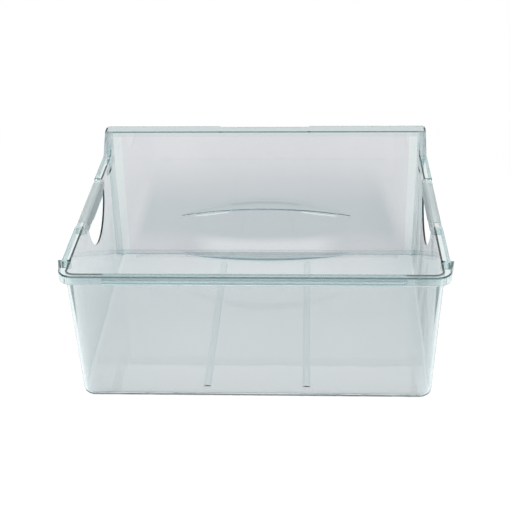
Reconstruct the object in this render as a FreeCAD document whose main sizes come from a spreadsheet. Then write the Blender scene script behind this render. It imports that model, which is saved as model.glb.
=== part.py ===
import FreeCAD
import Part
import math
import os
import Sketcher
from FreeCAD import Placement, Rotation, Vector

# Freezer drawer of clear plastic: a thin-walled tub, open at the front, that a tall front panel closes.
# The panel is pushed on from the front, and its two snap arms catch in windows of the side walls.
# Two saddle grips sit over the hand holes and a lip rail with stops is clipped over the rear edge.
# Frame: +X to the right, +Y to the front, +Z up, origin at the centre of the base, sizes in millimetres.

sizes = {
    "rim_half_width": 222.0,  # centre to the outside of a side rim
    "total_depth": 389.0,  # rear lip to the front edge of the panel
    "rim_height": 170.0,  # base to the top of the rims
    "front_height": 195.0,  # base to the top of the front panel
    "wall": 2.2,  # side and rear walls
    "floor": 2.6,
    "rim_width": 10.7,  # inside of a side wall to the outside of its rim
    "side_lean_rear": 6.3,  # how far a side wall comes in from rim to base, at the rear
    "side_lean_front": 1.0,  # the same at the front
    "rear_lean": 6.2,  # how far the rear wall comes in from rim to base
    "corner_radius": 11.2,  # upright rear corners, outside, at the rim
    "corner_growth": 4.8,  # how much larger that radius is at the base
    "base_radius": 7.0,  # turn from the walls to the floor, outside
    "rim_plate": 2.2,  # flat top of the rims
    "skirt_drop": 11.0,  # top of a rim to the bottom edge of its skirt
    "skirt_wall": 2.0,
    "rim_edge_radius": 1.2,  # rounded outer top edge of every rim
    "seam": 0.2,  # gap between two pieces, side by side
    "seat": 0.05,  # gap where one piece rests on another
    "lip_overhang": 5.2,  # rear lip edge to the outside of the rear wall, at the rim
    "lip_corner_radius": 20.0,
    "lip_reach": 39.5,  # how far the rail runs forward along the sides
    "stop_reach": 4.2,  # how far a stop stands out past the rim
    "stop_length": 18.5,  # the sloping run of a stop
    "thumb_step": 1.0,  # shallow step in the top of a stop
    "thumb_width": 4.0,
    "bead_half_length": 170.0,  # snap bead under the rear lip
    "bead_depth": 2.2,
    "bead_height": 2.6,
    "bead_drop": 8.0,  # top of the rim to the underside of the bead
    "rail_rib_depth": 2.4,
    "rail_rib_height": 1.9,
    "gusset_place": 183.0,
    "gusset_wall": 1.6,
    "grip_centre": 196.0,  # rear lip edge to the middle of a grip
    "grip_half_length": 57.5,
    "grip_tip": 13.0,  # low tongue at each end of a grip
    "tip_step": 0.8,
    "grip_wall": 2.0,
    "grip_edge_radius": 4.0,
    "grip_room": 0.5,  # gap between a wall's inside and the inner leg of its grip
    "leg_setback": 4.0,  # end of the saddle to the end of its inner leg
    "hand_ahead": 15.5,  # middle of a grip to the middle of the hand hole under it
    "hand_half_length": 60.0,
    "hand_depth": 48.0,
    "hand_top": 14.0,  # top of the rim to the straight top of a hand hole
    "hand_side_radius": 36.0,
    "hand_corner": 4.0,
    "hook_half_length": 36.0,
    "hook_reach": 3.6,
    "panel_wall": 2.5,
    "flange_depth": 20.1,  # inside of the panel to its front edge
    "flange_wall": 2.2,
    "panel_corner": 4.0,
    "notch_half_width": 60.0,
    "notch_depth": 3.0,
    "ramp_run": 24.9,  # length of the slope from the rims up to the panel
    "toe_length": 1.0,  # flat foot of the slope, at the outside
    "crease_skew": 9.0,  # how much further the foot reaches at the inside
    "recess_half_width": 124.0,
    "recess_depth": 19.0,
    "recess_height": 87.0,
    "recess_roof_radius": 360.0,
    "recess_fall": 2.0,  # how far the roof of the recess drops towards the inside
    "recess_edge_radius": 1.6,
    "ledge_depth": 8.0,  # lap under the front edge of the floor
    "ledge_wall": 1.2,
    "ledge_half_width": 190.0,
    "arm_length": 52.0,
    "arm_wall": 2.0,
    "arm_height": 7.0,
    "arm_drop": 11.5,  # top of the rim to the top of the snap arms
    "barb_length": 19.0,
    "barb_height": 4.4,
    "barb_depth": 1.7,
    "barb_setback": 2.5,  # end of an arm to its barb
    "window_room": 0.5,  # play round a barb in its window
    "ridge_place": 59.5,  # centre to the middle of a floor ridge
    "ridge_width": 10.0,
    "ridge_height": 1.6,
    "ridge_rear": 32.0,
    "ridge_front": 26.0,  # inside of the panel to the end of a ridge
}

os.makedirs("parts", exist_ok=True)
doc = FreeCAD.newDocument("freezer_drawer")
sheet = doc.addObject("Spreadsheet::Sheet", "sheet")
for row, (name, number) in enumerate(sizes.items(), start=1):
    sheet.set(f"A{row}", name)
    sheet.set(f"B{row}", str(number))
    sheet.setAlias(f"B{row}", name)
doc.recompute()


class Size:
    """A length, and the formula that works it out from the sheet."""

    def __init__(self, number, formula):
        self.number = number
        self.formula = formula

    def join(self, other, sign, number):
        right = other.formula if isinstance(other, Size) else str(float(other))
        return Size(number, f"({self.formula} {sign} {right})")

    def __add__(self, other):
        return self.join(other, "+", self.number + plain(other))

    def __sub__(self, other):
        return self.join(other, "-", self.number - plain(other))

    def __mul__(self, other):
        return self.join(other, "*", self.number * plain(other))

    def __truediv__(self, other):
        return self.join(other, "/", self.number / plain(other))

    def __neg__(self):
        return Size(-self.number, f"(0 - {self.formula})")


def plain(value):
    return value.number if isinstance(value, Size) else float(value)


def root(size):
    return Size(math.sqrt(size.number), f"sqrt({size.formula})")


def named(name):
    return Size(sizes[name], f"sheet.{name}")


zero = Size(0.0, "0")


def bind(thing, path, size):
    thing.setExpression(path, size.formula)


def from_rear(distance):
    """The Y of something that is this far in front of the rear lip's edge."""
    return distance - named("total_depth") / 2


def new_body(name):
    body = doc.addObject("PartDesign::Body", name)
    body.Label = name
    return body


def sketch(body, name, role, loops, height=zero):
    """Closed outlines on one of the body's own planes, each corner set by two bound distances.

    A corner with a third number starts an arc of that radius, which bulges out of the outline.
    """
    made = body.newObject("Sketcher::SketchObject", name)
    plane = next(f for f in body.Origin.OriginFeatures if f.Role == role)
    made.AttachmentSupport = (plane, [""])
    made.MapMode = "FlatFace"
    made.AttachmentOffset = Placement(Vector(0, 0, height.number), Rotation())
    bind(made, "AttachmentOffset.Base.z", height)
    for corners in loops:
        first = made.GeometryCount
        points = [Vector(corner[0].number, corner[1].number, 0) for corner in corners]
        for corner, start, end in zip(corners, points, points[1:] + points[:1]):
            curve = Part.LineSegment(start, end)
            if len(corner) == 3:
                curve = arc_between(start, end, corner[2].number)
            made.addGeometry(curve, False)
        for index, corner in enumerate(corners):
            line = first + index
            after = first + (index + 1) % len(corners)
            made.addConstraint(Sketcher.Constraint("Coincident", line, 2, after, 1))
            for kind, size in (("DistanceX", corner[0]), ("DistanceY", corner[1])):
                tie = made.addConstraint(Sketcher.Constraint(kind, -1, 1, line, 1, size.number))
                bind(made, f"Constraints[{tie}]", size)
            if len(corner) == 3:
                tie = made.addConstraint(Sketcher.Constraint("Radius", line, corner[2].number))
                bind(made, f"Constraints[{tie}]", corner[2])
    return made


def arc_between(start, end, radius):
    chord = end - start
    across = Vector(-chord.y, chord.x, 0).normalize()
    centre = (start + end) / 2 + across * math.sqrt(radius**2 - (chord.Length / 2) ** 2)
    first = math.atan2(start.y - centre.y, start.x - centre.x)
    last = math.atan2(end.y - centre.y, end.x - centre.x)
    return Part.ArcOfCircle(Part.Circle(centre, Vector(0, 0, 1), radius), first, last)


def rectangle(left, right, low, high):
    return [(left, low), (right, low), (right, high), (left, high)]


def mirror_loop(corners):
    return [(-x, y) for x, y in reversed(corners)]


def both_sides(*loops):
    return [side for corners in loops for side in (corners, mirror_loop(corners))]


def feature(body, kind, name, profile):
    made = body.newObject(f"PartDesign::{kind}", name)
    made.Profile = profile
    profile.Visibility = False
    return made


def pad(body, name, profile, length, both_ways=False):
    made = feature(body, "Pad", name, profile)
    made.Length = length.number
    bind(made, "Length", length)
    made.SideType = "Symmetric" if both_ways else "One side"
    return made


def pocket(body, name, profile, length=None, up=False):
    """A cut that goes down from its sketch, up from it, or with no length right through both ways."""
    made = feature(body, "Pocket", name, profile)
    if length is None:
        made.Type = "ThroughAll"
        made.SideType = "Symmetric"
    else:
        made.Length = length.number
        bind(made, "Length", length)
        made.Reversed = up
    doc.recompute()
    if made.Shape.Volume >= made.BaseFeature.Shape.Volume:
        raise ValueError(f"{name} cuts nothing")
    return made


def loft(body, kind, name, sections):
    made = feature(body, kind, name, sections[0])
    made.Sections = [(section, [""]) for section in sections[1:]]
    made.Ruled = True
    for section in sections[1:]:
        section.Visibility = False
    return made


def round_edges(body, name, radius, wanted):
    """A fillet on the edges of the body that the test picks."""
    doc.recompute()
    base = body.Tip
    chosen = [f"Edge{i}" for i, edge in enumerate(base.Shape.Edges, start=1) if wanted(edge)]
    if not chosen:
        raise ValueError(f"{name} found no edge")
    made = body.newObject("PartDesign::Fillet", name)
    made.Base = (base, chosen)
    made.Radius = radius.number
    bind(made, "Radius", radius)
    doc.recompute()
    return made


def close(a, b):
    return abs(a - b) < 0.02


def level(edge, height):
    """True if the whole edge lies at this height."""
    return all(close(vertex.Z, height.number) for vertex in edge.Vertexes)


def along(edge, axis, least=0.5):
    """True if the edge runs mostly along this axis: 0 for X, 1 for Y, 2 for Z."""
    box = edge.BoundBox
    spans = (box.XLength, box.YLength, box.ZLength)
    return spans[axis] > least and spans[axis] > 3 * max(s for i, s in enumerate(spans) if i != axis)


def at_x(edge, x):
    return all(close(abs(vertex.X), abs(x.number)) for vertex in edge.Vertexes)


def at_y(edge, y):
    return all(close(vertex.Y, y.number) for vertex in edge.Vertexes)


# Shared places

rim_half = named("rim_half_width")
inside_half = rim_half - named("rim_width")
outside_half = inside_half + named("wall")
rim_top = named("rim_height")
wall_top = rim_top - named("rim_plate") - named("seat")
skirt_bottom = rim_top - named("skirt_drop")
skirt_inside = rim_half - named("skirt_wall")
panel_back = from_rear(named("total_depth") - named("flange_depth"))
tub_front = panel_back - named("seat")
panel_front = from_rear(named("total_depth"))
ramp_foot = panel_back - named("ramp_run")
ramp_rise = named("front_height") - rim_top
ramp_slope = root(named("ramp_run") * named("ramp_run") + ramp_rise * ramp_rise)
mitre = (ramp_slope - named("ramp_run")) / ramp_rise
crease_outer = ramp_foot - named("toe_length")
crease_inner = crease_outer - named("crease_skew")
rail_end = from_rear(named("lip_reach"))
grip_middle = from_rear(named("grip_centre"))
saddle_rear = grip_middle - named("grip_half_length")
saddle_front = grip_middle + named("grip_half_length")
grip_rear = saddle_rear - named("grip_tip")
grip_front = saddle_front + named("grip_tip")
hand_middle = grip_middle + named("hand_ahead")
hand_top = rim_top - named("hand_top")
clear = Size(5.0, "5")  # how far a cutting shape runs past what it cuts


def share_above_base(height):
    """1 at the base and 0 at the rim: the share of a wall's lean that is left at this height."""
    return zero + 1 - height / rim_top


def wall_outline(height, inset, front):
    """The tub's outline at a height, drawn in from its outside by the inset, its rear corners round."""
    left = share_above_base(height)
    rear_half = outside_half - inset - named("side_lean_rear") * left
    front_half = outside_half - inset - named("side_lean_front") * left
    rear = from_rear(named("lip_overhang") + inset + named("rear_lean") * left)
    radius = named("corner_radius") - inset + named("corner_growth") * left
    across, ahead = front_half - rear_half, front - rear
    slant = root(across * across + ahead * ahead)
    back = radius * ahead / (slant + across)
    side_x, side_y = rear_half + back * across / slant, rear + back * ahead / slant
    return [
        (-rear_half + back, rear), (rear_half - back, rear, radius), (side_x, side_y),
        (front_half, front), (-front_half, front), (-side_x, side_y, radius),
    ]


def wall_solid(body, inset, low, high, front, kind):
    """A block with leaning sides, round rear corners and a round turn into its base."""
    sections = [
        sketch(body, f"{body.Label}_high", "XY_Plane", [wall_outline(high, inset, front)], high),
        sketch(body, f"{body.Label}_low", "XY_Plane", [wall_outline(low, inset, front)], low),
    ]
    loft(body, kind, f"{body.Label}_loft", sections)
    round_edges(
        body, f"{body.Label}_base", named("base_radius") - inset,
        lambda edge: level(edge, low) and not at_y(edge, front),
    )


# Tub: floor, leaning walls, side rims in two stretches each, hand holes, snap windows

def rim_stretch(rear, front_out, front_in):
    """One stretch of the right rim, as a flat plate and the skirt and end walls under it."""
    thick = named("skirt_wall")
    root_x = inside_half + named("wall") / 2
    plate = [(inside_half, rear), (rim_half, rear), (rim_half, front_out), (inside_half, front_in)]
    skew = (front_out - front_in) / (rim_half - inside_half)
    front_at_root = front_in + skew * (root_x - inside_half)
    front_at_skirt = front_out - skew * thick
    skirt = [
        (root_x, rear),
        (rim_half, rear),
        (rim_half, front_out),
        (root_x, front_at_root),
        (root_x, front_at_root - thick),
        (skirt_inside, front_at_skirt - thick),
        (skirt_inside, rear + thick),
        (root_x, rear + thick),
    ]
    return plate, skirt


def barb_outline(room):
    """Where a barb lies, seen from the side, and its window when given some room."""
    rear = panel_back - named("arm_length") + named("barb_setback")
    middle = rim_top - named("arm_drop") - named("arm_height") / 2
    half = named("barb_height") / 2 + room
    return rectangle(rear - room, rear + named("barb_length") + room, middle - half, middle + half)


def hand_outline():
    """A straight top over three arcs that flow into each other, with small rounded top corners."""
    long, deep, side, corner = (
        named(name) for name in ("hand_half_length", "hand_depth", "hand_side_radius", "hand_corner")
    )
    inward = long - side
    under = (inward * inward + deep * deep - side * side) / ((deep - side) * 2)
    meet_x = under * inward / (under - side)
    meet_z = hand_top - deep + under + under * (deep - under) / (under - side)
    inner = side - corner
    spread = root(inner * inner - corner * corner)
    top_x = inward + spread
    turn_x, turn_z = inward + spread * side / inner, hand_top - corner * side / inner
    return [
        (hand_middle + top_x, hand_top), (hand_middle - top_x, hand_top, corner),
        (hand_middle - turn_x, turn_z, side), (hand_middle - meet_x, meet_z, under),
        (hand_middle + meet_x, meet_z, side), (hand_middle + turn_x, turn_z, corner),
    ]


def make_tub():
    cavity = new_body("tub_inside")
    inside_top = named("front_height") + clear
    wall_solid(cavity, named("wall"), named("floor"), inside_top, panel_front, "AdditiveLoft")

    shell = new_body("tub_shell")
    wall_solid(shell, zero, zero, named("front_height"), tub_front, "AdditiveLoft")

    hollow = shell.newObject("PartDesign::Boolean", "tub_hollow")
    hollow.Type = "Cut"
    hollow.Group = [cavity]
    doc.recompute()

    over = rectangle(-rim_half, rim_half, from_rear(-clear), panel_front + clear)
    pocket(
        shell, "wall_top", sketch(shell, "wall_top_plan", "XY_Plane", [over], wall_top),
        named("front_height") + clear * 2 - wall_top, up=True,
    )

    # Side rims
    stretches = [
        rim_stretch(rail_end + named("seam"), grip_rear - named("seam"), grip_rear - named("seam")),
        rim_stretch(grip_front + named("seam"), crease_outer - named("seam"), crease_inner - named("seam")),
    ]
    plates = both_sides(*[plate_loop for plate_loop, skirt_loop in stretches])
    skirts = both_sides(*[skirt_loop for plate_loop, skirt_loop in stretches])
    plate_sketch = sketch(shell, "rim_plates", "XY_Plane", plates, wall_top)
    pad(shell, "rim_tops", plate_sketch, rim_top - wall_top)
    skirt_sketch = sketch(shell, "rim_skirts", "XY_Plane", skirts, skirt_bottom)
    pad(shell, "rim_sides", skirt_sketch, wall_top - skirt_bottom)
    round_edges(
        shell, "rim_edges", named("rim_edge_radius"),
        lambda edge: level(edge, rim_top) and at_x(edge, rim_half) and along(edge, 1),
    )

    # Snap bead along the outside of the rear wall
    bead_low = rim_top - named("bead_drop")
    bead_high = bead_low + named("bead_height")
    face_low = from_rear(named("lip_overhang") + named("rear_lean") * share_above_base(bead_low))
    middle = face_low + named("wall") / 2
    bead = [
        (middle, bead_low),
        (face_low - named("bead_depth"), bead_low),
        (face_low - named("bead_depth"), bead_low + named("bead_height") / 3),
        (middle, bead_high),
    ]
    bead_sketch = sketch(shell, "bead_profile", "YZ_Plane", [bead])
    pad(shell, "rear_bead", bead_sketch, named("bead_half_length") * 2, both_ways=True)

    # Two ridges along the floor, each a shallow arch in section
    half, height = named("ridge_width") / 2, named("ridge_height")
    arch_radius = (half * half + height * height) / (height * 2)
    base = named("floor") / 2
    low_left, low_right = named("ridge_place") - half, named("ridge_place") + half
    arch = [
        (low_right, named("floor"), arch_radius), (low_left, named("floor")), (low_left, base), (low_right, base),
    ]
    mirrored = [
        (-low_left, named("floor"), arch_radius), (-low_right, named("floor")), (-low_right, base), (-low_left, base),
    ]
    ridge_front = panel_back - named("ridge_front")
    ridge_sketch = sketch(shell, "ridge_profile", "XZ_Plane", [arch, mirrored], -ridge_front)
    pad(shell, "floor_ridges", ridge_sketch, ridge_front - from_rear(named("ridge_rear")))

    # Rebate under the front edge of the floor for the panel's ledge
    side = named("ledge_half_width") + named("seam")
    rebate = rectangle(-side, side, panel_back - named("ledge_depth") - named("seam"), panel_front)
    pocket(
        shell, "floor_rebate", sketch(shell, "rebate_plan", "XY_Plane", [rebate]),
        named("ledge_wall") + named("seat"), up=True,
    )

    # Windows for the barbs of the snap arms, and the hand holes
    windows = [barb_outline(named("window_room"))]
    pocket(shell, "snap_windows", sketch(shell, "window_outline", "YZ_Plane", windows))
    pocket(shell, "hand_holes", sketch(shell, "hand_hole_outline", "YZ_Plane", [hand_outline()]))
    shell.Label = "tub"
    return shell


# Front panel: plate with a flange all round, grip recess, wings, floor ledge, snap arms

def recess_block(name, inset, rear, front, low, edge_radius=None):
    """An upright drum and a lying one, both drawn in by the inset, and what they share in a box."""
    half, depth = named("recess_half_width"), named("recess_depth")
    drum_radius = (half * half + depth * depth) / (depth * 2)
    drum = doc.addObject("Part::Cylinder", f"{name}_drum")
    bind(drum, "Radius", drum_radius - inset)
    bind(drum, "Height", named("recess_height") * 2)
    bind(drum, "Placement.Base.y", panel_back - depth + drum_radius)
    bind(drum, "Placement.Base.z", -named("recess_height") / 2)
    roof = doc.addObject("Part::Cylinder", f"{name}_roof")
    length = drum_radius * 2 + clear * 2
    tilt = math.degrees(math.atan2(sizes["recess_fall"], sizes["recess_depth"]))
    roof.Placement = Placement(Vector(0, 0, 0), Rotation(Vector(1, 0, 0), -90 + tilt))
    bind(roof, "Radius", named("recess_roof_radius") - inset)
    bind(roof, "Height", length)
    bind(roof, "Placement.Base.y", panel_back - depth - clear)
    drop = named("recess_fall") * (depth + clear) / depth
    slant = root(depth * depth + named("recess_fall") * named("recess_fall")) / depth
    bind(roof, "Placement.Base.z", named("recess_height") - named("recess_roof_radius") * slant - drop)
    shared = doc.addObject("Part::MultiCommon", f"{name}_shared")
    shared.Shapes = [drum, roof]
    doc.recompute()
    if edge_radius:
        rounded = new_body(f"{name}_rounded")
        rounded.BaseFeature = shared
        doc.recompute()
        round_edges(
            rounded, f"{name}_edge", edge_radius,
            lambda edge: edge.BoundBox.YMin < panel_back.number
            and edge.BoundBox.XLength > half.number and edge.BoundBox.Center.z > 0,
        )
        shared = rounded
    box = doc.addObject("Part::Box", f"{name}_box")
    bind(box, "Length", half * 2 + clear * 2)
    bind(box, "Width", front - rear)
    bind(box, "Height", named("recess_height") + clear)
    bind(box, "Placement.Base.x", -half - clear)
    bind(box, "Placement.Base.y", rear)
    bind(box, "Placement.Base.z", low)
    block = doc.addObject("Part::MultiCommon", f"{name}_block")
    block.Shapes = [shared, box]
    return block


def make_front_panel():
    frame = new_body("panel_frame")
    top = named("front_height")
    plate_front = panel_back + named("panel_wall")
    edge = named("flange_wall")

    plate = sketch(frame, "plate_plan", "XY_Plane", [rectangle(-rim_half, rim_half, panel_back, plate_front)])
    pad(frame, "plate", plate, top)
    side_front = panel_front - named("panel_corner")
    sides = both_sides(rectangle(rim_half - edge, rim_half, plate_front - edge / 2, side_front))
    pad(frame, "side_flanges", sketch(frame, "side_plan", "XY_Plane", sides), top)
    bottom = rectangle(-rim_half, rim_half, plate_front - edge / 2, side_front)
    pad(frame, "bottom_flange", sketch(frame, "bottom_plan", "XY_Plane", [bottom]), edge)
    notch_half, notched = named("notch_half_width"), panel_front - named("notch_depth")
    slope = named("notch_depth")
    corner = named("panel_corner")
    head = [
        (-rim_half, panel_back), (rim_half, panel_back), (rim_half, panel_front - corner, corner),
        (rim_half - corner, panel_front), (notch_half + slope, panel_front), (notch_half, notched),
        (-notch_half, notched), (-notch_half - slope, panel_front),
        (-rim_half + corner, panel_front, corner), (-rim_half, panel_front - corner),
    ]
    pad(frame, "top_flange", sketch(frame, "top_plan", "XY_Plane", [head], top - edge), edge)
    round_edges(
        frame, "base_corners", named("panel_corner"),
        lambda e: along(e, 1) and at_x(e, rim_half) and level(e, zero),
    )

    # Wings: a sloping cap on the line of each rim, with a skirt outside and a web over the wall
    plate_t, drop, run = named("rim_plate"), named("skirt_drop"), named("ramp_run")
    foot_under = ramp_foot + plate_t * mitre
    foot_skirt = ramp_foot + drop * mitre
    past = named("panel_wall") / 2
    inner_end = panel_back + past
    rise = ramp_rise / run
    upper = [(crease_inner, rim_top), (ramp_foot, rim_top), (inner_end, top + past * rise)]
    cap = upper + [
        (inner_end, top - plate_t * ramp_slope / run + past * rise),
        (foot_under, rim_top - plate_t), (crease_inner, rim_top - plate_t),
    ]
    web = upper + [(inner_end, rim_top - plate_t), (crease_inner, rim_top - plate_t)]
    skirt = upper + [
        (inner_end, top - drop * ramp_slope / run + past * rise),
        (foot_skirt, skirt_bottom), (crease_inner, skirt_bottom),
    ]
    wing = (
        ("cap", cap, inside_half, rim_half), ("web", web, inside_half, outside_half),
        ("skirt", skirt, skirt_inside, rim_half),
    )
    for where in ("right", "left"):
        for what, loop, inner, outer in wing:
            start = inner if where == "right" else -outer
            profile = sketch(frame, f"{where}_{what}_profile", "YZ_Plane", [loop], start)
            pad(frame, f"{where}_{what}", profile, outer - inner)
    over = rectangle(-rim_half - clear, rim_half + clear, crease_inner - clear, panel_front + clear)
    over_sketch = sketch(frame, "over_plan", "XY_Plane", [over], top)
    pocket(frame, "level_top", over_sketch, clear, up=True)
    beyond = rim_half + clear
    skew = named("crease_skew") / (rim_half - inside_half)
    slice_loop = [
        (inside_half - clear, crease_inner - clear), (beyond, crease_inner - clear),
        (beyond, crease_outer + skew * clear), (inside_half - clear, crease_inner - skew * clear),
    ]
    slice_sketch = sketch(frame, "crease_plan", "XY_Plane", both_sides(slice_loop), rim_top + clear)
    pocket(frame, "crease", slice_sketch, named("skirt_drop") + clear * 2)
    round_edges(
        frame, "wing_edges", named("rim_edge_radius"),
        lambda e: at_x(e, rim_half) and e.BoundBox.YMax < inner_end.number + 0.1
        and e.BoundBox.YLength > 0.5 and e.BoundBox.ZMin > rim_top.number - 0.1,
    )

    # Ledge under the floor
    half = named("ledge_half_width")
    ledge = rectangle(-half, half, panel_back - named("ledge_depth"), panel_back + past)
    pad(frame, "ledge", sketch(frame, "ledge_plan", "XY_Plane", [ledge]), named("ledge_wall"))

    # Snap arms with a barb that points inwards
    thick, height = named("arm_wall"), named("arm_height")
    arm_inner = outside_half + named("seam") * 2
    arm = rectangle(arm_inner, arm_inner + thick, panel_back - named("arm_length"), panel_back + past)
    arm_low = rim_top - named("arm_drop") - height
    pad(frame, "arms", sketch(frame, "arm_plan", "XY_Plane", both_sides(arm), arm_low), height)
    (rear, barb_low), (front, barb_low), *others = barb_outline(zero)
    reach = named("seam") * 2 + named("barb_depth")
    barb = [
        (arm_inner + thick / 2, rear), (arm_inner, rear),
        (arm_inner - reach, front - named("barb_length") / 3), (arm_inner - reach, front),
        (arm_inner + thick / 2, front),
    ]
    barb_sketch = sketch(frame, "barb_plan", "XY_Plane", both_sides(barb), barb_low)
    pad(frame, "barbs", barb_sketch, named("barb_height"))
    doc.recompute()

    # Grip recess: the lower middle of the plate swells inwards under an arched roof
    rest = named("floor") + named("seat")
    deep = panel_back - named("recess_depth") - clear
    swell = recess_block("swell", zero, deep, plate_front, rest, named("recess_edge_radius"))
    hollow = recess_block("hollow", named("panel_wall"), deep, panel_front + clear, rest + named("panel_wall"))
    joined = doc.addObject("Part::MultiFuse", "panel_joined")
    joined.Shapes = [frame, swell]
    joined.Refine = True
    panel = doc.addObject("Part::Cut", "front_panel")
    panel.Base = joined
    panel.Tool = hollow
    panel.Label = "front_panel"
    return panel


# Grips: rounded saddles over the rims, hooked under the top of each hand hole

def make_grips():
    right = new_body("right_grip")
    leg_outer = inside_half - named("grip_room")
    leg_inner = leg_outer - named("grip_wall")
    leg_bottom = hand_top
    hook_top = hand_top - named("seat")
    hook_bottom = hook_top - named("grip_wall")
    plate_low = rim_top - named("rim_plate")
    block = rectangle(leg_inner, rim_half, grip_rear, grip_front)
    pad(right, "saddle", sketch(right, "saddle_plan", "XY_Plane", [block], skirt_bottom), named("skirt_drop"))
    end = named("skirt_wall")
    hollow = rectangle(leg_outer, skirt_inside, grip_rear + end, grip_front - end)
    pocket(
        right, "saddle_hollow", sketch(right, "hollow_plan", "XY_Plane", [hollow], skirt_bottom),
        plate_low - skirt_bottom, up=True,
    )
    passage = rectangle(leg_outer, outside_half + named("seam"), grip_rear - clear, grip_front + clear)
    pocket(
        right, "wall_passage", sketch(right, "passage_plan", "XY_Plane", [passage], skirt_bottom),
        plate_low - skirt_bottom, up=True,
    )
    leg_rear, leg_front = saddle_rear + named("leg_setback"), saddle_front - named("leg_setback")
    leg = rectangle(leg_inner, leg_outer, leg_rear, leg_front)
    leg_sketch = sketch(right, "leg_plan", "XY_Plane", [leg], leg_bottom)
    pad(right, "inner_leg", leg_sketch, skirt_bottom - leg_bottom)
    reach = named("hook_half_length")
    hook = rectangle(leg_inner, leg_outer + named("hook_reach"), hand_middle - reach, hand_middle + reach)
    hook_sketch = sketch(right, "hook_plan", "XY_Plane", [hook], hook_bottom)
    pad(right, "hook", hook_sketch, hook_top - hook_bottom)
    bridge = rectangle(leg_inner, leg_outer, hand_middle - reach, hand_middle + reach)
    bridge_sketch = sketch(right, "bridge_plan", "XY_Plane", [bridge], hook_top)
    pad(right, "hook_root", bridge_sketch, leg_bottom - hook_top)
    round_edges(
        right, "saddle_edges", named("grip_edge_radius"),
        lambda edge: level(edge, rim_top) and along(edge, 1),
    )
    tips = [
        rectangle(leg_inner - clear, rim_half + clear, grip_rear - clear, saddle_rear),
        rectangle(leg_inner - clear, rim_half + clear, saddle_front, grip_front + clear),
    ]
    pocket(right, "tips", sketch(right, "tip_plan", "XY_Plane", tips, rim_top), named("tip_step"))
    right.Label = "right_grip"
    left = doc.addObject("Part::Mirroring", "left_grip")
    left.Source = right
    left.Base = Vector(0, 0, 0)
    left.Normal = Vector(1, 0, 0)
    left.Label = "left_grip"
    return right, left


# Rear rail: the lip over the rear edge, its rounded corners and the two stops

def make_rear_rail():
    rail = new_body("rear_rail")
    rear = from_rear(zero)
    out = rim_half + named("stop_reach")
    slope_start = rail_end - named("stop_length")
    plate_low = rim_top - named("rim_plate")
    thick = named("skirt_wall")

    def shape(inset, end):
        """The rail's outline, drawn in by the inset, its rear corners round."""
        corner = named("lip_corner_radius")
        half = rim_half - inset
        bend = corner - inset
        return [
            (-rim_half + corner, rear + inset), (rim_half - corner, rear + inset, bend),
            (half, rear + corner), (half, slope_start), (out - inset, end),
            (-out + inset, end), (-half, slope_start), (-half, rear + corner, bend),
        ]

    slab = sketch(rail, "rail_plan", "XY_Plane", [shape(zero, rail_end)], skirt_bottom)
    pad(rail, "rail_block", slab, named("skirt_drop"))
    round_edges(
        rail, "rail_edges", named("rim_edge_radius"),
        lambda edge: level(edge, rim_top) and not at_y(edge, rail_end),
    )
    inside = sketch(rail, "inside_plan", "XY_Plane", [shape(thick, rail_end - thick)], skirt_bottom)
    pocket(rail, "rail_hollow", inside, plate_low - skirt_bottom, up=True)
    side = outside_half + named("seam")
    passage = rectangle(-side, side, from_rear(named("lip_overhang")), rail_end + clear)
    pocket(
        rail, "wall_passage_rear", sketch(rail, "passage_rear", "XY_Plane", [passage], skirt_bottom),
        plate_low - skirt_bottom, up=True,
    )
    bend = named("corner_radius") - named("wall")
    edge_y = from_rear(named("lip_overhang") + named("wall"))
    mouth = [
        (-inside_half + bend, edge_y), (inside_half - bend, edge_y, bend), (inside_half, edge_y + bend),
        (inside_half, rail_end + clear), (-inside_half, rail_end + clear), (-inside_half, edge_y + bend, bend),
    ]
    pocket(rail, "mouth", sketch(rail, "mouth_plan", "XY_Plane", [mouth], rim_top), named("skirt_drop"))

    # Shallow step on the inner side of each stop
    step_start, step_outer = edge_y + bend, inside_half + named("thumb_width")
    step = [
        (inside_half - clear, step_start), (inside_half, step_start), (step_outer, rail_end - thick),
        (step_outer, rail_end + clear), (inside_half - clear, rail_end + clear),
    ]
    step_sketch = sketch(rail, "step_plan", "XY_Plane", both_sides(step), rim_top)
    pocket(rail, "thumb_steps", step_sketch, named("thumb_step"))

    # Rib that snaps under the bead of the rear wall, and two gussets
    start = rear + thick / 2
    rib_top = rim_top - named("bead_drop") - named("seam")
    rib = [
        (start, skirt_bottom), (rear + thick + named("rail_rib_depth") / 2, skirt_bottom),
        (rear + thick + named("rail_rib_depth"), rib_top - named("rail_rib_height") / 2),
        (rear + thick + named("rail_rib_depth"), rib_top), (start, rib_top),
    ]
    rib_sketch = sketch(rail, "rail_rib_profile", "YZ_Plane", [rib])
    pad(rail, "rail_rib", rib_sketch, named("bead_half_length") * 2, both_ways=True)
    place, half = named("gusset_place"), named("gusset_wall") / 2
    face = from_rear(named("lip_overhang") - named("seam"))
    gusset = rectangle(place - half, place + half, start, face)
    gusset_sketch = sketch(rail, "gusset_plan", "XY_Plane", both_sides(gusset), skirt_bottom)
    pad(rail, "gussets", gusset_sketch, plate_low + named("rim_plate") / 2 - skirt_bottom)
    return rail


tub = make_tub()
front_panel = make_front_panel()
right_grip, left_grip = make_grips()
rear_rail = make_rear_rail()
pieces = [tub, front_panel, left_grip, right_grip, rear_rail]

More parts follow.
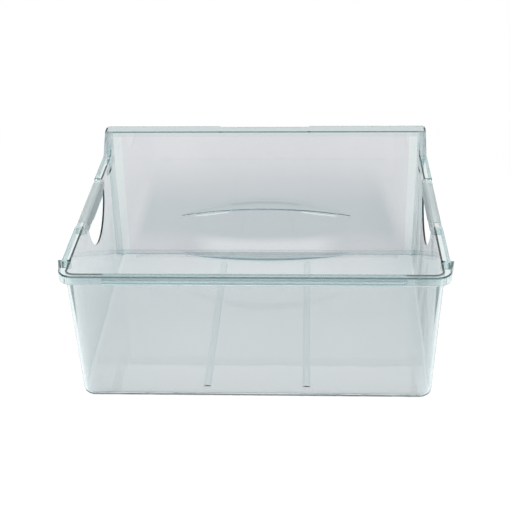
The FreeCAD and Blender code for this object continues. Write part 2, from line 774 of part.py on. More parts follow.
doc.recompute()
for thing in doc.Objects:
    if {"Invalid", "Error"} & set(thing.State):
        raise ValueError(f"{thing.Label} failed to build")
for piece in pieces:
    if piece.Shape.isNull() or not piece.Shape.isValid() or len(piece.Shape.Solids) != 1:
        raise ValueError(f"{piece.Label} is not one valid solid")
for piece in pieces:
    piece.Shape.exportStep(f"parts/{piece.Label}.step")
    box = piece.Shape.BoundBox
    print(
        f"{piece.Label}: {piece.Shape.Volume / 1000:.1f} cm3, X {box.XMin:.1f} to {box.XMax:.1f}, "
        f"Y {box.YMin:.1f} to {box.YMax:.1f}, Z {box.ZMin:.1f} to {box.ZMax:.1f}"
    )
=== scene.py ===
import math
import bmesh
import bpy
from mathutils import Matrix, Vector


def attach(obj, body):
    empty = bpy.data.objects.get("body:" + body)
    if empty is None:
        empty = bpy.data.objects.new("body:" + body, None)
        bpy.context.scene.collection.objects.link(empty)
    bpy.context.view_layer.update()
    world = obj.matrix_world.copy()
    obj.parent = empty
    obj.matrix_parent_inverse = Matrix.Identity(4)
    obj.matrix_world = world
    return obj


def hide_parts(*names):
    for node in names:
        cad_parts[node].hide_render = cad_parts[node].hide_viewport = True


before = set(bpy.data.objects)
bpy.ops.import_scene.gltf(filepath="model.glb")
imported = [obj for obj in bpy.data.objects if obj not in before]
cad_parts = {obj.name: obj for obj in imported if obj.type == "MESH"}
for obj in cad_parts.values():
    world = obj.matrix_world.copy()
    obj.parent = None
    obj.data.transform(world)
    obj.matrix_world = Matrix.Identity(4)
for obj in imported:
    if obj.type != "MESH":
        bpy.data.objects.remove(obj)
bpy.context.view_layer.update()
print("frame loaded:", sorted(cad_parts))


# camera, where the photograph was taken from

shot = {
    "place": (0.06202, -1.30714, 0.79107),
    "down": 28.019,  # degrees below level
    "turn": 3.042,  # to the left of straight ahead
    "roll": -1.26,
    "focalPixels": 1150.0,
    "framePixels": 510.0,
    "sensor": 36.0,
    "nearest": 0.05,
    "farthest": 50.0,
}


def makeCamera(spec):
    data = bpy.data.cameras.new("camera")
    data.sensor_width = spec["sensor"]
    data.lens = spec["focalPixels"] / spec["framePixels"] * spec["sensor"]
    data.clip_start = spec["nearest"]
    data.clip_end = spec["farthest"]
    camera = bpy.data.objects.new("camera", data)
    bpy.context.scene.collection.objects.link(camera)
    turned = (
        Matrix.Rotation(math.radians(spec["turn"]), 4, "Z")
        @ Matrix.Rotation(math.radians(90.0 - spec["down"]), 4, "X")
        @ Matrix.Rotation(math.radians(spec["roll"]), 4, "Z")
    )
    camera.matrix_world = Matrix.Translation(Vector(spec["place"])) @ turned
    bpy.context.scene.camera = camera


makeCamera(shot)
print("camera placed")


# nodes

def addNode(tree, kind, **values):
    node = tree.nodes.new(kind)
    for name, value in values.items():
        setattr(node, name, value)
    return node


def feed(tree, target, term):
    # a number, a colour or another node's output goes into a socket
    if isinstance(term, bpy.types.NodeSocket):
        tree.links.new(term, target)
    elif isinstance(term, tuple) and len(term) == 3 and target.type == "RGBA":
        target.default_value = (*term, 1.0)
    else:
        target.default_value = term


def calc(tree, operation, *terms):
    node = addNode(tree, "ShaderNodeMath", operation=operation)
    for place, term in enumerate(terms):
        feed(tree, node.inputs[place], term)
    return node.outputs[0]


def ramp(tree, value, low, high, atLow=0.0, atHigh=1.0):
    node = addNode(tree, "ShaderNodeMapRange", interpolation_type="SMOOTHSTEP")
    for place, term in enumerate((value, low, high, atLow, atHigh)):
        feed(tree, node.inputs[place], term)
    return node.outputs["Result"]


def blendColour(tree, share, first, second):
    node = addNode(tree, "ShaderNodeMix", data_type="RGBA")
    feed(tree, node.inputs["Factor"], share)
    feed(tree, node.inputs[6], first)
    feed(tree, node.inputs[7], second)
    return node.outputs[2]


def mixShader(tree, share, first, second):
    node = addNode(tree, "ShaderNodeMixShader")
    for place, term in enumerate((share, first, second)):
        feed(tree, node.inputs[place], term)
    return node.outputs[0]


def where(tree):
    return addNode(tree, "ShaderNodeTexCoord").outputs["Object"]


def axes(tree):
    split = addNode(tree, "ShaderNodeSeparateXYZ")
    tree.links.new(where(tree), split.inputs[0])
    return split.outputs


def noise(tree, scale, stretch=(1.0, 1.0, 1.0), turn=(0.0, 0.0, 0.0), detail=2.0):
    mapping = addNode(tree, "ShaderNodeMapping")
    mapping.inputs["Scale"].default_value = stretch
    mapping.inputs["Rotation"].default_value = turn
    tree.links.new(where(tree), mapping.inputs["Vector"])
    node = addNode(tree, "ShaderNodeTexNoise")
    tree.links.new(mapping.outputs[0], node.inputs["Vector"])
    feed(tree, node.inputs["Scale"], scale)
    node.inputs["Detail"].default_value = detail
    return node.outputs[0]


def pattern(tree, spec):
    # patches of noise, or scratches where it is stretched
    return ramp(tree, noise(tree, **spec["noise"]), *spec["span"])


def startMaterial(name):
    material = bpy.data.materials.new(name)
    material.use_nodes = True
    material.node_tree.nodes.clear()
    return material, material.node_tree


# studio: white surround, paper that keeps the shadow, soft lamps

studio = {
    "white": (1.0, 1.0, 1.0),
    "fill": 0.36,  # strength of the surround on the object
    "paperColour": (0.86, 0.87, 0.88),
    "paperShown": 0.80,  # how much of the shadow is seen on the paper
    "paperGlow": 0.22,  # and how much of its white is its own
    "nearPaper": 0.32,  # from here outwards the paper turns into the white surround
    "farPaper": 0.85,
    "floorSize": 12.0,
    "floorDrop": 0.0004,
}
lamps = {
    "frontBox": {"place": (0.45, -3.7, 2.3), "size": 1.3, "power": 195.0, "mirrored": False},
    "overhead": {"place": (-0.5, 0.2, 2.6), "size": 1.8, "power": 17.0, "mirrored": True},
    "leftBox": {"place": (-1.9, 0.4, 1.2), "size": 1.1, "power": 5.0, "mirrored": False},
}
lampAim = (0.0, 0.0, 0.05)
bounces = {  # light crosses many clear walls
    "max_bounces": 48,
    "glossy_bounces": 40,
    "transmission_bounces": 48,
    "transparent_max_bounces": 32,
}


def seenDirectly(tree):
    # 1 for what the camera, a mirror or clear plastic shows of the surround, 0 for the light it gives
    path = addNode(tree, "ShaderNodeLightPath")
    most = calc(tree, "MAXIMUM", path.outputs["Is Camera Ray"], path.outputs["Is Glossy Ray"])
    return calc(tree, "MAXIMUM", most, path.outputs["Is Transmission Ray"])


def makeWorld(spec):
    world = bpy.data.worlds.new("studio")
    bpy.context.scene.world = world
    world.use_nodes = True
    tree = world.node_tree
    tree.nodes.clear()
    surround = addNode(tree, "ShaderNodeBackground")
    feed(tree, surround.inputs["Color"], spec["white"])
    feed(tree, surround.inputs["Strength"], ramp(tree, seenDirectly(tree), 0.0, 1.0, spec["fill"], 1.0))
    out = addNode(tree, "ShaderNodeOutputWorld")
    tree.links.new(surround.outputs[0], out.inputs["Surface"])


def makeLamp(name, lamp):
    data = bpy.data.lights.new(name, "AREA")
    data.shape = "SQUARE"
    data.size = lamp["size"]
    data.energy = lamp["power"]
    box = bpy.data.objects.new(name, data)
    bpy.context.scene.collection.objects.link(box)
    place = Vector(lamp["place"])
    facing = (Vector(lampAim) - place).to_track_quat("-Z", "Y")
    box.matrix_world = Matrix.Translation(place) @ facing.to_matrix().to_4x4()
    box.visible_glossy = lamp["mirrored"]
    box.visible_transmission = lamp["mirrored"]


def makePaper(spec):
    # matt where it lights the object; seen directly, it shows its shadow and fades into white
    paper, tree = startMaterial("paper")
    matt = addNode(tree, "ShaderNodeBsdfDiffuse")
    feed(tree, matt.inputs["Color"], spec["paperColour"])
    shade = addNode(tree, "ShaderNodeBsdfDiffuse")
    feed(tree, shade.inputs["Color"], (spec["paperShown"],) * 3)
    glow = addNode(tree, "ShaderNodeEmission")
    glow.inputs["Strength"].default_value = spec["paperGlow"]
    near = addNode(tree, "ShaderNodeAddShader")
    tree.links.new(shade.outputs[0], near.inputs[0])
    tree.links.new(glow.outputs[0], near.inputs[1])
    far = addNode(tree, "ShaderNodeEmission")
    away = addNode(tree, "ShaderNodeVectorMath", operation="LENGTH")
    tree.links.new(where(tree), away.inputs[0])
    fade = ramp(tree, away.outputs["Value"], spec["nearPaper"], spec["farPaper"])
    shown = mixShader(tree, fade, near.outputs[0], far.outputs[0])
    out = addNode(tree, "ShaderNodeOutputMaterial")
    feed(tree, out.inputs["Surface"], mixShader(tree, seenDirectly(tree), matt.outputs[0], shown))
    return paper


def makeFloor(spec):
    mesh = bpy.data.meshes.new("floor")
    shape = bmesh.new()
    bmesh.ops.create_grid(shape, x_segments=1, y_segments=1, size=spec["floorSize"] / 2)
    bmesh.ops.translate(shape, verts=shape.verts, vec=(0.0, 0.0, -spec["floorDrop"]))
    shape.to_mesh(mesh)
    shape.free()
    mesh.materials.append(makePaper(spec))
    floor = bpy.data.objects.new("floor", mesh)
    bpy.context.scene.collection.objects.link(floor)


for name, count in bounces.items():
    setattr(bpy.context.scene.cycles, name, count)
makeWorld(studio)
for name, lamp in lamps.items():
    makeLamp(name, lamp)
makeFloor(studio)
bpy.context.scene.view_settings.view_transform = "Standard"
print("studio lit")


# effects shared by the plastics

flowLook = {"stretch": (1.0, 1.0, 0.6), "span": (0.35, 0.68)}
wearLook = {
    "patch": {"noise": {"scale": 14.0, "detail": 4.0}, "span": (0.48, 0.72)},
    "along": {
        "noise": {"scale": 260.0, "stretch": (1.0, 0.03, 0.4), "turn": (0.0, 0.0, 0.35)},
        "span": (0.62, 0.74),
    },
    "across": {
        "noise": {"scale": 230.0, "stretch": (0.03, 1.0, 0.5), "turn": (0.0, 0.0, -0.2)},
        "span": (0.63, 0.75),
    },
    "floor": (0.006, 0.026),  # heights between which the wear of the floor fades
    "walls": 0.25,  # the share of it that the walls have
}
skinLook = {
    "wave": {"scale": 22.0, "stretch": (1.0, 1.0, 0.7), "detail": 1.0},
    "scratch": {
        "noise": {"scale": 420.0, "stretch": (1.0, 0.02, 0.3), "turn": (0.0, 0.0, 0.6), "detail": 1.0},
        "span": (0.6, 0.75),
    },
    "scratchDepth": 0.02,  # beside the waves
    "bump": 0.001,
}
turnSoft = 0.0003  # the soft border of a turned edge


def startGroup(name, inputs, outputs):
    tree = bpy.data.node_groups.new(name, "ShaderNodeTree")
    for label, kind, value in inputs:
        socket = tree.interface.new_socket(label, in_out="INPUT", socket_type=kind)
        socket.default_value = value
    for label, kind in outputs:
        tree.interface.new_socket(label, in_out="OUTPUT", socket_type=kind)
    return tree, addNode(tree, "NodeGroupInput").outputs, addNode(tree, "NodeGroupOutput").inputs


def useGroup(tree, group, **values):
    node = addNode(tree, "ShaderNodeGroup", node_tree=group)
    for name, value in values.items():
        feed(tree, node.inputs[name], value)
    return node.outputs[0]


def makeFlow(look):
    # cloudy change of tint, as the melt ran through the mould
    tree, given, result = startGroup(
        "mouldFlow",
        [
            ("Tint", "NodeSocketColor", (0.9, 0.9, 0.9, 1.0)),
            ("Streak", "NodeSocketColor", (0.8, 0.85, 0.85, 1.0)),
            ("Amount", "NodeSocketFloat", 0.5),
            ("Clouds", "NodeSocketFloat", 9.0),
        ],
        [("Color", "NodeSocketColor")],
    )
    cloud = ramp(tree, noise(tree, given["Clouds"], look["stretch"]), *look["span"])
    share = calc(tree, "MULTIPLY", cloud, given["Amount"])
    tree.links.new(blendColour(tree, share, given["Tint"], given["Streak"]), result["Color"])
    return tree


def makeWear(look):
    # polish dulled by handling: patches and fine scratches, more of both on the floor
    tree, given, result = startGroup(
        "handWear",
        [("Clear", "NodeSocketFloat", 0.01), ("Worn", "NodeSocketFloat", 0.1)],
        [("Roughness", "NodeSocketFloat")],
    )
    scratch = calc(tree, "MAXIMUM", pattern(tree, look["along"]), pattern(tree, look["across"]))
    worn = calc(tree, "MAXIMUM", pattern(tree, look["patch"]), scratch)
    low = ramp(tree, axes(tree)["Z"], *look["floor"], 1.0, look["walls"])
    spread = calc(tree, "SUBTRACT", given["Worn"], given["Clear"])
    rough = calc(tree, "MULTIPLY_ADD", calc(tree, "MULTIPLY", worn, low), spread, given["Clear"])
    tree.links.new(rough, result["Roughness"])
    return tree


def makeSkin(look):
    # slow waves left by the mould, with faint scratches in them
    tree, given, result = startGroup(
        "mouldSkin",
        [("Waves", "NodeSocketFloat", 0.5), ("Scratches", "NodeSocketFloat", 0.2)],
        [("Normal", "NodeSocketVector")],
    )
    tall = calc(tree, "MULTIPLY", noise(tree, **look["wave"]), given["Waves"])
    deep = calc(tree, "MULTIPLY", given["Scratches"], look["scratchDepth"])
    fine = calc(tree, "MULTIPLY", pattern(tree, look["scratch"]), deep)
    bump = addNode(tree, "ShaderNodeBump")
    bump.inputs["Strength"].default_value = 1.0
    bump.inputs["Distance"].default_value = look["bump"]
    tree.links.new(calc(tree, "SUBTRACT", tall, fine), bump.inputs["Height"])
    tree.links.new(bump.outputs[0], result["Normal"])
    return tree


def makeEdge(soft):
    # the outer turn of a top edge, where the eye looks along the wall
    tree, given, result = startGroup(
        "topEdge",
        [("Low", "NodeSocketFloat", 0.1682), ("High", "NodeSocketFloat", 0.1697)],
        [("Mask", "NodeSocketFloat")],
    )
    height = axes(tree)["Z"]
    rise = ramp(tree, height, calc(tree, "SUBTRACT", given["Low"], soft), given["Low"])
    fall = ramp(tree, height, given["High"], calc(tree, "ADD", given["High"], soft), 1.0, 0.0)
    tree.links.new(calc(tree, "MULTIPLY", rise, fall), result["Mask"])
    return tree


effects = {
    "flow": makeFlow(flowLook),
    "wear": makeWear(wearLook),
    "skin": makeSkin(skinLook),
    "edge": makeEdge(turnSoft),
}
print("effects made:", len(effects))


# zones: paler and darker tints that stand for shadow and reflection inside the plastic

softEdge = 0.0006  # the soft border of a zone that gives none of its own


def above(tree, value, edge, soft=softEdge):
    return ramp(tree, value, edge - soft / 2, edge + soft / 2)


def below(tree, value, edge, soft=softEdge):
    return ramp(tree, value, edge - soft / 2, edge + soft / 2, 1.0, 0.0)


def lineAt(tree, off, width):
    # a thin line that fades to both sides, by the distance from its middle
    return ramp(tree, off, 0.0, width, 1.0, 0.0)


zoneLimits = (  # what a zone's dictionary may give, and on which side of it the zone lies
    ("low", "Z", above),
    ("high", "Z", below),
    ("inner", "out", above),
    ("outer", "out", below),
    ("rear", "Y", above),
    ("front", "Y", below),
)


def measures(tree):
    # a point's place, and how far out it lies from the middle of the drawer
    place = axes(tree)
    return {"Y": place["Y"], "Z": place["Z"], "out": calc(tree, "ABSOLUTE", place["X"])}


def combine(tree, operation, masks):
    joined = masks[0]
    for mask in masks[1:]:
        joined = calc(tree, operation, joined, mask)
    return joined


def overlap(tree, *masks):
    return combine(tree, "MULTIPLY", masks)


def apart(tree, value, middle):
    return calc(tree, "ABSOLUTE", calc(tree, "SUBTRACT", value, middle))


def inZone(tree, place, zone):
    # 1 inside all the limits that a zone gives, or inside any of its parts
    if "parts" in zone:
        return combine(tree, "MAXIMUM", [inZone(tree, place, part) for part in zone["parts"]])
    soft = zone.get("soft", {})
    masks = []
    for key, axis, side in zoneLimits:
        if key in zone:
            masks.append(side(tree, place[axis], zone[key], soft.get(key, softEdge)))
    return overlap(tree, *masks)


def tintZone(tree, place, zone, colour):
    return blendColour(tree, inZone(tree, place, zone), colour, zone["tint"])


def tintEdge(tree, edge, colour):
    mask = useGroup(tree, effects["edge"], Low=edge["low"], High=edge["high"])
    return blendColour(tree, mask, colour, edge["tint"])


# clear plastic, which each piece tints and frosts in its own way
# a finish gives its tint, the streak that flow blends in by clouds, its roughness where clear and where worn,
# the height of the mould's waves and of the scratches, how much light goes through, and the colour's density

clearPlastic = {
    "ior": 1.49,
    "depth": (0.20, 0.55, 0.60),  # the colour that long ways through it take on
    "shadow": 0.8,  # power that makes a shadow paler than the tint
}


def makePlastic(name, finish, tintIn, polishIn=None, shadowIn=None):
    material, tree = startMaterial(name)
    colour = useGroup(
        tree, effects["flow"],
        Tint=finish["tint"], Streak=finish["streak"], Amount=finish["flow"], Clouds=finish["clouds"],
    )
    polish = useGroup(tree, effects["wear"], Clear=finish["clear"], Worn=finish["worn"])
    if polishIn:
        polish = polishIn(tree, polish)
    clear = addNode(tree, "ShaderNodeBsdfPrincipled")
    feed(tree, clear.inputs["Base Color"], tintIn(tree, colour))
    feed(tree, clear.inputs["Roughness"], polish)
    skin = useGroup(tree, effects["skin"], Waves=finish["waves"], Scratches=finish["scratches"])
    feed(tree, clear.inputs["Normal"], skin)
    clear.inputs["IOR"].default_value = clearPlastic["ior"]
    clear.inputs["Transmission Weight"].default_value = finish["through"]

    shadow = tuple(part ** clearPlastic["shadow"] for part in finish["tint"])
    if shadowIn:
        shadow = shadowIn(tree, shadow)
    passing = addNode(tree, "ShaderNodeBsdfTransparent")
    feed(tree, passing.inputs["Color"], shadow)
    path = addNode(tree, "ShaderNodeLightPath")
    unseen = calc(tree, "MAXIMUM", path.outputs["Is Shadow Ray"], path.outputs["Is Diffuse Ray"])

    depth = addNode(tree, "ShaderNodeVolumeAbsorption")
    feed(tree, depth.inputs["Color"], clearPlastic["depth"])
    depth.inputs["Density"].default_value = finish["density"]
    out = addNode(tree, "ShaderNodeOutputMaterial")
    feed(tree, out.inputs["Surface"], mixShader(tree, unseen, clear.outputs[0], passing.outputs[0]))
    tree.links.new(depth.outputs[0], out.inputs["Volume"])
    return material


# tub

tub = {
    "finish": {
        "tint": (0.912, 0.893, 0.893), "streak": (0.89, 0.875, 0.875), "flow": 0.6, "clouds": 8.0,
        "clear": 0.0, "worn": 0.08, "waves": 0.10, "scratches": 0.05, "through": 1.0, "density": 46.0,
    },
    "rim": {  # deeper in colour than the walls
        "tint": (0.85, 0.89, 0.88),
        "parts": (
            {"low": 0.1655, "soft": {"low": 0.002}},
            {"inner": 0.2155, "soft": {"inner": 0.002}},
        ),
    },
    "bead": {  # the snap bead on the rear wall, which keeps the grain of the mould
        "tint": (0.80, 0.85, 0.85), "low": 0.1575, "high": 0.1645, "outer": 0.171, "front": -0.1865,
        "frost": 0.45,
    },
    "base": {
        "tint": (0.98, 0.96, 0.96), "high": 0.0045, "rear": -0.170, "soft": {"high": 0.001, "rear": 0.004},
    },
    "shadedWallFoot": {  # painted shade: the lower part of the rear wall, darker towards the bottom
        "tint": (0.89, 0.865, 0.865), "high": 0.0265, "front": -0.176, "soft": {"high": 0.037},
    },
    "foot": {  # painted shadow: the dark line that the rear wall stands on
        "tint": (0.10, 0.12, 0.125), "high": 0.0012, "front": -0.1745, "soft": {"high": 0.001},
    },
    "edge": {"tint": (0.16, 0.30, 0.31), "low": 0.1683, "high": 0.1696},  # the turn of the rims
    "walls": {  # the outside of the walls at the rim, and how far each leans in on the way down
        "rim": 0.170,
        "side": 0.2135,
        "sideLean": 0.0063,
        "rear": -0.1893,
        "rearLean": 0.0062,
        "thick": 0.0022,
        "radius": 0.0112,  # of the upright corners at the rim, and how much it grows downwards
        "growth": 0.0048,
        "low": 0.0075,  # heights between which the corners are plain
        "high": 0.1665,
        "reach": 0.0003,  # a point nearer than this to a skin lies on it
    },
    "pale": {"tint": (1.0, 1.0, 1.0), "near": 0.004, "far": 0.024},  # light gathers in the corners
    "bend": {  # painted shade: a dark line down the upper part of each corner, which narrows to nothing
        "tint": (0.20, 0.25, 0.25), "middle": 0.0070, "width": -0.00433, "growth": 0.0429, "skin": 0.002,
        "high": 0.1570, "soft": 0.0008,
    },
}


def inFromWalls(tree, place, walls):
    # how far a point lies in from the outside of the side wall, and from that of the rear wall
    sideLean = walls["sideLean"] / walls["rim"]
    rearLean = walls["rearLean"] / walls["rim"]
    side = calc(tree, "MULTIPLY_ADD", place["Z"], sideLean, walls["side"] - walls["sideLean"])
    rear = calc(tree, "MULTIPLY_ADD", place["Z"], -rearLean, walls["rear"] + walls["rearLean"])
    return calc(tree, "SUBTRACT", side, place["out"]), calc(tree, "SUBTRACT", place["Y"], rear)


def inPaleCorner(tree, place, pale):
    fromSide, fromRear = inFromWalls(tree, place, tub["walls"])
    nearSide = ramp(tree, fromSide, pale["near"], pale["far"], 1.0, 0.0)
    nearRear = ramp(tree, fromRear, pale["near"], pale["far"], 1.0, 0.0)
    return overlap(tree, nearSide, nearRear)


# painted shade line down the upper part of each rear corner
def onCornerShadeLine(tree, place, bend):
    fromSide, fromRear = inFromWalls(tree, place, tub["walls"])
    width = calc(tree, "MULTIPLY_ADD", place["Z"], bend["growth"], bend["width"])
    spare = calc(tree, "SUBTRACT", width, apart(tree, fromSide, bend["middle"]))
    line = above(tree, spare, 0.0, bend["soft"])
    return overlap(tree, line, below(tree, fromRear, bend["skin"]), below(tree, place["Z"], bend["high"]))


def tintTub(tree, colour):
    place = measures(tree)
    for name in ("rim", "bead", "base", "shadedWallFoot"):
        colour = tintZone(tree, place, tub[name], colour)
    colour = blendColour(tree, inPaleCorner(tree, place, tub["pale"]), colour, tub["pale"]["tint"])
    colour = blendColour(tree, onCornerShadeLine(tree, place, tub["bend"]), colour, tub["bend"]["tint"])
    colour = tintZone(tree, place, tub["foot"], colour)
    return tintEdge(tree, tub["edge"], colour)


def polishTub(tree, polish):
    frost = calc(tree, "MULTIPLY", inZone(tree, measures(tree), tub["bead"]), tub["bead"]["frost"])
    return calc(tree, "MAXIMUM", polish, frost)


tubPlastic = makePlastic("tubPlastic", tub["finish"], tintTub, polishTub)
print("tub plastic made")


# front panel

panel = {
    "finish": {
        "tint": (0.79, 0.772, 0.786), "streak": (0.735, 0.72, 0.74), "flow": 0.6, "clouds": 6.0,
        "clear": 0.02, "worn": 0.10, "waves": 0.10, "scratches": 0.05, "through": 1.0, "density": 46.0,
    },
    "cloud": {  # painted shadow of the drawer seen through the plate: grey, low on the plate, with sides that lean in towards the top
        "tint": (0.64, 0.665, 0.68), "rise": (0.008, 0.050), "fall": (0.075, 0.150),
        "side": 0.208, "lean": -0.30, "soft": 0.022,
    },
    "archShadeLine": {  # painted shade: a dark line along the top of the grip recess, which is part of a large circle
        "tint": (0.50, 0.53, 0.55), "middle": -0.273, "radius": 0.360, "width": 0.0010,
        "fade": (0.044, 0.055),
    },
    "paintedHighlight": {  # painted highlight: two pale strokes under the arch, where the bulge meets its roof
        "tint": (1.0, 1.0, 1.0), "height": 0.0898, "fall": -0.218, "width": 0.0015,
        "inner": 0.052, "outer": 0.100, "front": 0.1755, "soft": {"inner": 0.008, "outer": 0.012},
    },
    "floorLine": {  # where the floor ends at the panel
        "tint": (0.36, 0.40, 0.42), "low": 0.0030, "high": 0.0042, "front": 0.1768,
    },
    "flangeSide": {"tint": (0.86, 0.96, 0.92), "inner": 0.200, "rear": 0.1768},
    "flangeTop": {"tint": (0.63, 0.68, 0.68), "low": 0.1865, "rear": 0.1768},
    "foot": {  # of the flange and of the ledge under the floor
        "tint": (0.98, 0.97, 0.97),
        "parts": ({"high": 0.0030, "rear": 0.1768}, {"high": 0.0030, "front": 0.1740}),
    },
    "litBulgeFoot": {  # painted light: the lower part of the recess's bulge, paler where light comes through it
        "tint": (0.90, 0.885, 0.89), "low": 0.0042, "high": 0.034, "outer": 0.090, "front": 0.1740,
        "soft": {"high": 0.018, "outer": 0.050},
    },
    "shadowFoot": {"tint": (0.98, 0.97, 0.97), "high": 0.006},  # the foot casts next to no shadow
    "edge": {"tint": (0.32, 0.39, 0.40), "low": 0.1933, "high": 0.1947},
}


# painted shadow: grey low on the plate, its sides leaning in towards the top
def inPaintedShadow(tree, place, cloud):
    rise = ramp(tree, place["Z"], *cloud["rise"])
    fall = ramp(tree, place["Z"], *cloud["fall"], 1.0, 0.0)
    side = calc(tree, "MULTIPLY_ADD", place["Z"], cloud["lean"], cloud["side"])
    within = ramp(tree, calc(tree, "SUBTRACT", side, place["out"]), 0.0, cloud["soft"])
    return overlap(tree, rise, fall, within)


# painted dark line where the plate turns into the roof of the grip recess
def onArchShadeLine(tree, place, arch):
    rise = calc(tree, "POWER", calc(tree, "SUBTRACT", place["Z"], arch["middle"]), 2.0)
    away = calc(tree, "SQRT", calc(tree, "ADD", rise, calc(tree, "POWER", place["out"], 2.0)))
    line = lineAt(tree, apart(tree, away, arch["radius"]), arch["width"])
    return overlap(tree, line, ramp(tree, place["out"], *arch["fade"], 1.0, 0.0))


# painted highlight: pale strokes under the arch of the grip recess
def onPaintedHighlight(tree, place, paintedHighlight):
    height = calc(tree, "MULTIPLY_ADD", place["out"], paintedHighlight["fall"], paintedHighlight["height"])
    line = lineAt(tree, apart(tree, place["Z"], height), paintedHighlight["width"])
    return overlap(tree, line, inZone(tree, place, paintedHighlight))


def tintPanel(tree, colour):
    place = measures(tree)
    for name, shape in (("cloud", inPaintedShadow), ("archShadeLine", onArchShadeLine), ("paintedHighlight", onPaintedHighlight)):
        colour = blendColour(tree, shape(tree, place, panel[name]), colour, panel[name]["tint"])
    for name in ("floorLine", "flangeSide", "flangeTop", "foot", "litBulgeFoot"):
        colour = tintZone(tree, place, panel[name], colour)
    return tintEdge(tree, panel["edge"], colour)


def shadowPanel(tree, shadow):
    return tintZone(tree, measures(tree), panel["shadowFoot"], shadow)


panelPlastic = makePlastic("panelPlastic", panel["finish"], tintPanel, shadowIn=shadowPanel)
print("panel plastic made")


# grips: frosted, with a glossy, grained tongue at each end

grip = {
    "finish": {
        "tint": (0.76, 0.80, 0.795), "streak": (0.66, 0.70, 0.70), "flow": 0.5, "clouds": 30.0,
        "clear": 0.30, "worn": 0.42, "waves": 0.05, "scratches": 0.0, "through": 0.75, "density": 46.0,
    },
    "tongue": {"tint": (0.93, 0.95, 0.95), "middle": 0.0015, "from": 0.0575, "soft": 0.001, "gloss": 0.6},
    "grain": {"noise": {"scale": 700.0}, "span": (0.40, 0.60)},
}


def onTongue(tree, tongue):
    return above(tree, apart(tree, axes(tree)["Y"], tongue["middle"]), tongue["from"], tongue["soft"])


def tintGrip(tree, colour):
    grained = overlap(tree, onTongue(tree, grip["tongue"]), pattern(tree, grip["grain"]))
    return blendColour(tree, grained, colour, grip["tongue"]["tint"])


def polishGrip(tree, polish):
    tongue = grip["tongue"]
    kept = calc(tree, "SUBTRACT", 1.0, calc(tree, "MULTIPLY", onTongue(tree, tongue), tongue["gloss"]))
    return calc(tree, "MULTIPLY", polish, kept)


gripPlastic = makePlastic("gripPlastic", grip["finish"], tintGrip, polishGrip)
print("grip plastic made")


# rear rail

rail = {
    "finish": {
        "tint": (0.86, 0.91, 0.91), "streak": (0.80, 0.86, 0.86), "flow": 0.6, "clouds": 16.0,
        "clear": 0.0, "worn": 0.06, "waves": 0.08, "scratches": 0.05, "through": 1.0, "density": 52.0,
    },
    "edge": {"tint": (0.17, 0.25, 0.26), "low": 0.1681, "high": 0.1697},
    "stop": {  # painted shade: the darkened outer side of a stop, which slopes outwards on its way forwards
        "tint": (0.22, 0.28, 0.28), "side": 0.2187, "growth": 0.0042, "start": -0.1735, "end": -0.155,
        "soft": 0.004,
    },
}


# painted shade on the outer side of each stop
def onStopShade(tree, stop):
    place = measures(tree)
    slope = calc(tree, "MULTIPLY", ramp(tree, place["Y"], stop["start"], stop["end"]), stop["growth"])
    outside = above(tree, calc(tree, "SUBTRACT", place["out"], slope), stop["side"])
    return overlap(tree, outside, above(tree, place["Y"], stop["start"], stop["soft"]))


def tintRail(tree, colour):
    colour = tintEdge(tree, rail["edge"], colour)
    return blendColour(tree, onStopShade(tree, rail["stop"]), colour, rail["stop"]["tint"])


railPlastic = makePlastic("railPlastic", rail["finish"], tintRail)
print("rail plastic made")


# pieces: each CAD solid with its level triangles joined and its curves shaded as the mould made them

pieces = {
    "tub": {"plastic": tubPlastic, "slot": "tub_plastic", "walls": tub["walls"]},
    "front_panel": {"plastic": panelPlastic, "slot": "panel_plastic"},
    "left_grip": {"plastic": gripPlastic, "slot": "grip_plastic"},
    "right_grip": {"plastic": gripPlastic, "slot": "grip_plastic"},
    "rear_rail": {"plastic": railPlastic, "slot": "rail_plastic"},
}
shading = {
    "merge": 0.00001,
    "flatWithin": 0.05,  # degrees; triangles this level become one face
    "sharpFrom": 35.0,  # degrees between faces that always meet in a crease
    "creaseFrom": 3.0,  # degrees between wide faces that do
    "wide": 0.012,
    "alike": 0.9,  # a corner's own lean is taken where it agrees this well with the faces
    "share": 0.35,  # faces narrower than this part of the widest don't turn the normal
}


def cornerLean(place, walls):
    # the way that an upright rear corner of the tub faces at a point of its outside or inside, or None
    if not walls["low"] < place.z < walls["high"]:
        return None
    left = 1.0 - place.z / walls["rim"]
    radius = walls["radius"] + walls["growth"] * left
    across = walls["side"] - walls["sideLean"] * left - radius
    along = walls["rear"] + walls["rearLean"] * left + radius
    away = Vector((abs(place.x) - across, place.y - along))
    if away.x < walls["reach"] or away.y > -walls["reach"]:
        return None
    depth = radius - away.length
    if min(abs(depth), abs(depth - walls["thick"])) > walls["reach"]:
        return None
    away.normalize()
    run = (walls["sideLean"] + walls["growth"]) / walls["rim"]
    back = (walls["rearLean"] + walls["growth"]) / walls["rim"]
    rise = -away.x * run + away.y * back + walls["growth"] / walls["rim"]
    return Vector((math.copysign(away.x, place.x), away.y, rise)).normalized()


def faceWidth(face):
    return face.calc_area() / max(edge.calc_length() for edge in face.edges)


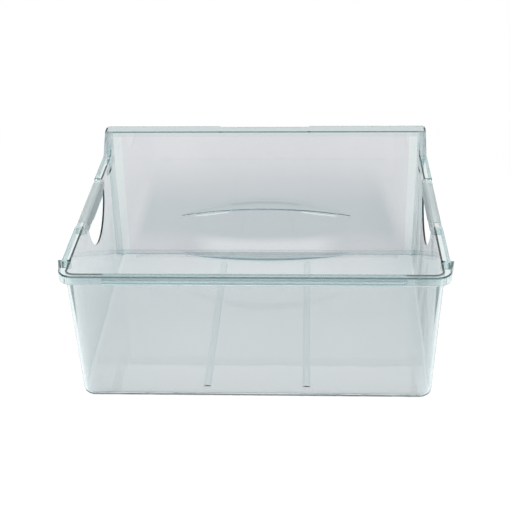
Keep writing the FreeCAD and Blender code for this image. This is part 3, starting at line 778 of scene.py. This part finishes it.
def isCrease(edge, widths):
    if len(edge.link_faces) != 2:
        return True
    angle = math.degrees(edge.calc_face_angle(0.0))
    if angle > shading["sharpFrom"]:
        return True
    return angle > shading["creaseFrom"] and min(widths[face] for face in edge.link_faces) > shading["wide"]


def smoothGroups(vert, creases):
    # the faces round a corner, parted where a crease runs into it
    left = set(vert.link_faces)
    while left:
        group = {left.pop()}
        reach = list(group)
        while reach:
            for edge in reach.pop().edges:
                if vert not in edge.verts or edge in creases:
                    continue
                joined = left.intersection(edge.link_faces)
                left -= joined
                group |= joined
                reach.extend(joined)
        yield group


def groupNormal(loops, widths):
    # the widest faces of a group decide, so that flat walls stay flat
    limit = shading["share"] * max(widths[loop.face] for loop in loops)
    total = Vector()
    for loop in loops:
        if widths[loop.face] > limit:
            total += loop.face.normal * loop.calc_angle()
    return total.normalized()


def cornerNormals(shape, walls):
    widths = {face: faceWidth(face) for face in shape.faces}
    creases = {edge for edge in shape.edges if isCrease(edge, widths)}
    normals = {}
    for vert in shape.verts:
        lean = cornerLean(vert.co, walls) if walls else None
        for group in smoothGroups(vert, creases):
            loops = [loop for loop in vert.link_loops if loop.face in group]
            normal = groupNormal(loops, widths)
            if lean and abs(lean.dot(normal)) > shading["alike"]:
                normal = lean if lean.dot(normal) > 0.0 else -lean
            for loop in loops:
                normals[loop] = normal
    return [normals[loop] for face in shape.faces for loop in face.loops]


def dressPiece(node, spec):
    shape = bmesh.new()
    shape.from_mesh(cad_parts[node].data)
    bmesh.ops.remove_doubles(shape, verts=shape.verts, dist=shading["merge"])
    level = math.radians(shading["flatWithin"])
    bmesh.ops.dissolve_limit(shape, angle_limit=level, verts=shape.verts, edges=shape.edges)
    shape.normal_update()
    normals = cornerNormals(shape, spec.get("walls"))
    mesh = bpy.data.meshes.new(node + "Skin")
    shape.to_mesh(mesh)
    shape.free()
    mesh.shade_smooth()
    mesh.normals_split_custom_set(normals)
    mesh.materials.append(spec["plastic"])
    piece = bpy.data.objects.new(node + "Skin", mesh)
    bpy.context.scene.collection.objects.link(piece)
    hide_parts(node)
    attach(piece, "root")


for node, spec in pieces.items():
    dressPiece(node, spec)
print("pieces dressed:", len(pieces))
